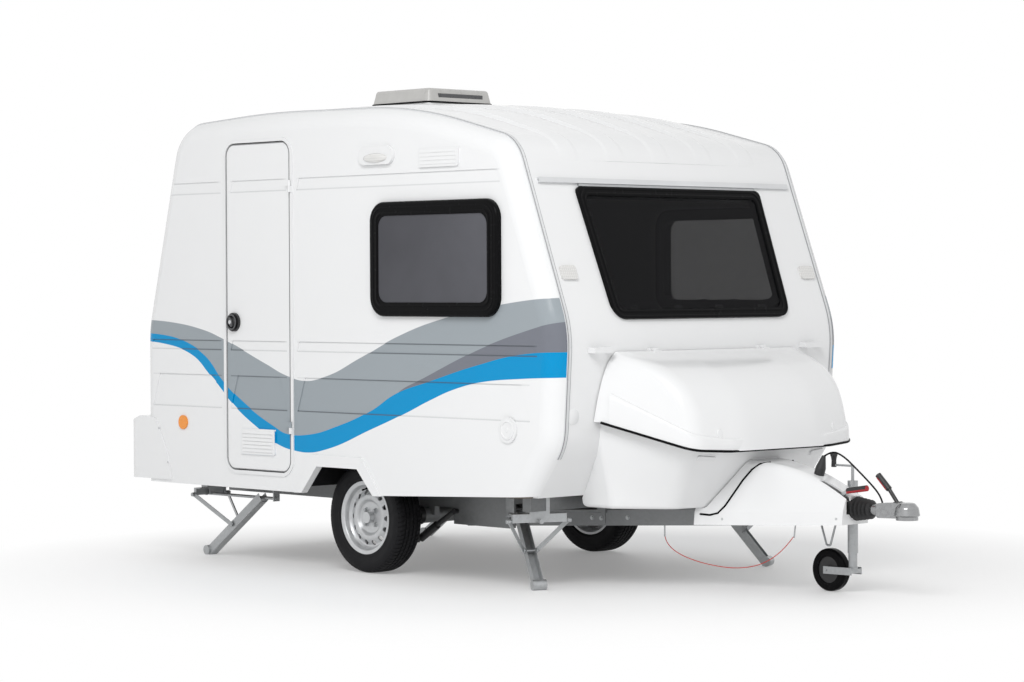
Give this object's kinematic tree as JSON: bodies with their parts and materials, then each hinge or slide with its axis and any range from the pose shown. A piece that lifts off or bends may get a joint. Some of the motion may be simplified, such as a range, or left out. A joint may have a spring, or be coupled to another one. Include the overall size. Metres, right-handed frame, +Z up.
{
  "type": "touring caravan trailer",
  "caption": "Small white touring caravan on a single axle, with an entry door, front storage locker, roof hatch, drawbar, jockey wheel and folding corner steadies.",
  "frame": {"origin": "on the ground under the middle of the overall length and width", "axes": "+X forward to the coupling, +Y to the left, +Z up"},
  "size_m": [4.594, 2.06, 2.455],
  "materials": {
    "gelcoat": "gloss",
    "floor": "matt",
    "galvanised": "satin",
    "black_steel": "satin",
    "rubber": "matt",
    "tyre": "matt",
    "silver_steel": "satin",
    "acrylic": "gloss",
    "aluminium": "satin",
    "white_plastic": "gloss",
    "black_plastic": "matt",
    "dome_plastic": "satin",
    "red_lens": "gloss",
    "amber_lens": "gloss",
    "clear_lens": "gloss",
    "red_cable": "gloss",
    "grip_red": "satin",
    "plate": "satin"
  },
  "bodies": {
    "caravan": {"side_wall_left": "gelcoat", "side_wall_right": "gelcoat", "front_wall": "gelcoat", "rear_wall": "gelcoat", "roof_panel": "gelcoat", "wheel_boxes": "black_plastic", "floor_panel": "floor", "window_frames": "rubber", "window_panes": "acrylic", "door_frame": "white_plastic", "hatch_frame": "white_plastic", "locker_tub": "gelcoat", "chassis_rails": "galvanised", "drawbar_arms": "galvanised", "cross_members": "galvanised", "axle_beam": "galvanised", "swing_arms": "black_steel", "dampers": "black_steel", "brake_rod": "black_steel", "steady_brackets": "galvanised", "jockey_sleeve": "galvanised", "overrun_device": "black_steel", "bellows": "rubber", "coupling_head": "galvanised", "coupling_handle": "black_plastic", "handbrake_lever": "grip_red", "drawbar_cover": "gelcoat", "rear_bumper": "gelcoat", "rear_lamps": "red_lens", "number_plate": "plate", "front_lamps": "clear_lens", "side_reflectors": "amber_lens", "side_fittings": "white_plastic", "awning_rail": "aluminium", "grab_handles": "white_plastic", "trailer_cable": "rubber", "breakaway_cable": "red_cable", "cable_plug": "black_plastic", "drawbar_hooks": "galvanised"},
    "entry_door": {"door_panel": "gelcoat", "door_lock": "black_plastic"},
    "locker_lid": {"locker_lid": "gelcoat"},
    "roof_hatch": {"hatch_dome": "dome_plastic"},
    "wheel_left": {"tyre_left": "tyre", "rim_left": "silver_steel"},
    "wheel_right": {"tyre_right": "tyre", "rim_right": "silver_steel"},
    "jockey_tube": {"jockey_tube": "galvanised"},
    "jockey_fork": {"jockey_fork": "galvanised"},
    "jockey_wheel": {"jockey_tyre": "rubber", "jockey_hub": "black_plastic"},
    "strut_front_right": {"strut_front_right": "galvanised"},
    "leg_front_right": {"leg_front_right": "galvanised"},
    "strut_front_left": {"strut_front_left": "galvanised"},
    "leg_front_left": {"leg_front_left": "galvanised"},
    "strut_rear_right": {"strut_rear_right": "galvanised"},
    "leg_rear_right": {"leg_rear_right": "galvanised"},
    "strut_rear_left": {"strut_rear_left": "galvanised"},
    "leg_rear_left": {"leg_rear_left": "galvanised"}
  },
  "joints": [
    {"name": "wheel_left_spin", "type": "hinge", "parent": "caravan", "child": "wheel_left", "pos_m": [-0.503, 0.785, 0.276], "axis": [0, 1, 0], "continuous": true},
    {"name": "wheel_right_spin", "type": "hinge", "parent": "caravan", "child": "wheel_right", "pos_m": [-0.503, -0.785, 0.276], "axis": [0, 1, 0], "continuous": true},
    {"name": "door_swing", "type": "hinge", "parent": "caravan", "child": "entry_door", "pos_m": [-0.889, -1.014, 1.3], "axis": [0, 0, 1], "range_deg": [0, 165]},
    {"name": "locker_lid_hinge", "type": "hinge", "parent": "caravan", "child": "locker_lid", "pos_m": [1.037, 0, 1.124], "axis": [0, -1, 0], "range_deg": [0, 75]},
    {"name": "roof_hatch_hinge", "type": "hinge", "parent": "caravan", "child": "roof_hatch", "pos_m": [-1.189, 0, 2.374], "axis": [0, -1, 0], "range_deg": [0, 50]},
    {"name": "jockey_slide", "type": "slide", "parent": "caravan", "child": "jockey_tube", "axis": [0, 0, 1], "range_m": [-0.15, 0]},
    {"name": "jockey_swivel", "type": "hinge", "parent": "jockey_tube", "child": "jockey_fork", "pos_m": [1.817, 0.128, 0.118], "axis": [0, 0, 1], "continuous": true},
    {"name": "jockey_wheel_spin", "type": "hinge", "parent": "jockey_fork", "child": "jockey_wheel", "pos_m": [1.687, 0.128, 0.1], "axis": [0, 1, 0], "continuous": true},
    {"name": "strut_front_right_fold", "type": "hinge", "parent": "caravan", "child": "strut_front_right", "pos_m": [0.693, -0.804, 0.325], "axis": [0.4226, 0.9063, 0], "range_deg": [0, 45]},
    {"name": "leg_front_right_fold", "type": "hinge", "parent": "strut_front_right", "child": "leg_front_right", "pos_m": [0.57893, -0.75081, 0.175], "axis": [0.4226, 0.9063, 0], "range_deg": [-90, 0]},
    {"name": "strut_front_left_fold", "type": "hinge", "parent": "caravan", "child": "strut_front_left", "pos_m": [0.693, 0.804, 0.325], "axis": [-0.4226, 0.9063, 0], "range_deg": [0, 45]},
    {"name": "leg_front_left_fold", "type": "hinge", "parent": "strut_front_left", "child": "leg_front_left", "pos_m": [0.57893, 0.75081, 0.175], "axis": [-0.4226, 0.9063, 0], "range_deg": [-90, 0]},
    {"name": "strut_rear_right_fold", "type": "hinge", "parent": "caravan", "child": "strut_rear_right", "pos_m": [-1.868, -0.77, 0.325], "axis": [0, -1, 0], "range_deg": [0, 30]},
    {"name": "leg_rear_right_fold", "type": "hinge", "parent": "strut_rear_right", "child": "leg_rear_right", "pos_m": [-1.65378, -0.77, 0.175], "axis": [0, -1, 0], "range_deg": [-60, 0]},
    {"name": "strut_rear_left_fold", "type": "hinge", "parent": "caravan", "child": "strut_rear_left", "pos_m": [-1.868, 0.77, 0.325], "axis": [0, -1, 0], "range_deg": [0, 30]},
    {"name": "leg_rear_left_fold", "type": "hinge", "parent": "strut_rear_left", "child": "leg_rear_left", "pos_m": [-1.65378, 0.77, 0.175], "axis": [0, -1, 0], "range_deg": [-60, 0]}
  ],
  "couplings": [
    {"joint": "leg_front_right_fold", "follows": "strut_front_right_fold", "ratio": -2},
    {"joint": "leg_front_left_fold", "follows": "strut_front_left_fold", "ratio": -2},
    {"joint": "leg_rear_right_fold", "follows": "strut_rear_right_fold", "ratio": -2},
    {"joint": "leg_rear_left_fold", "follows": "strut_rear_left_fold", "ratio": -2}
  ]
}
